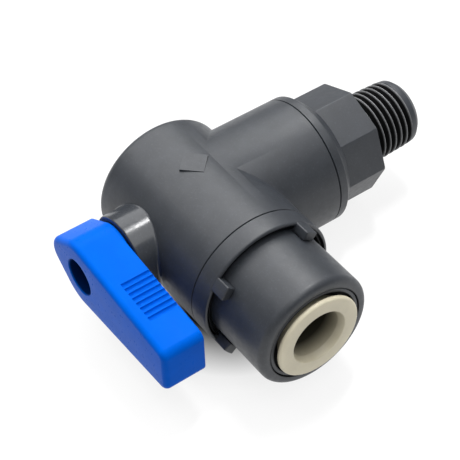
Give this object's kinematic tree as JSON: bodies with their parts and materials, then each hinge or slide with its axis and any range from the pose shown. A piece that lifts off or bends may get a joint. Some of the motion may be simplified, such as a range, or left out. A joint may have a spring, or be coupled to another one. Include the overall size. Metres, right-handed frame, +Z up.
{
  "type": "push-fit angle ball valve",
  "caption": "Angle ball valve with a taper-threaded inlet, a push-fit tube outlet with a release collet, and a quarter-turn lever.",
  "frame": {"origin": "centre of the ball, where the axes of the inlet and the outlet cross", "axes": "+X out of the tube socket, +Y out of the threaded inlet, -Y towards the lever, +Z up with the diamond mark on top"},
  "size_m": [0.0491, 0.0737, 0.0268],
  "materials": {
    "housing_plastic": "semi-matte moulded slate-grey plastic",
    "lever_plastic": "satin vivid blue plastic",
    "collet_plastic": "satin cream acetal",
    "seat_plastic": "waxy white fluoropolymer",
    "seal_rubber": "smooth black rubber",
    "ball_metal": "polished",
    "screw_steel": "bright stainless steel"
  },
  "bodies": {
    "housing": {"body": "housing_plastic", "inlet_adapter": "housing_plastic", "adapter_seal": "seal_rubber", "inlet_seat": "seat_plastic", "outlet_seat": "seat_plastic", "stem_washer": "seat_plastic", "tube_socket": "housing_plastic", "socket_seal": "seal_rubber", "locking_ring": "housing_plastic", "tube_seal": "seal_rubber", "backup_washer": "seat_plastic", "collet_cage": "housing_plastic"},
    "handle": {"lever": "lever_plastic", "lever_screw": "screw_steel", "stem": "housing_plastic", "inner_stem_seal": "seal_rubber", "outer_stem_seal": "seal_rubber", "ball": "ball_metal"},
    "release_collet": {"collet": "collet_plastic", "grip_teeth": "screw_steel"}
  },
  "joints": [
    {"name": "lever_turn", "type": "hinge", "parent": "housing", "child": "handle", "pos_m": [0, 0, 0], "axis": [0, -1, 0], "range_deg": [0, 90]},
    {"name": "collet_press", "type": "slide", "parent": "housing", "child": "release_collet", "axis": [1, 0, 0], "range_m": [-0.0016, 0]}
  ]
}
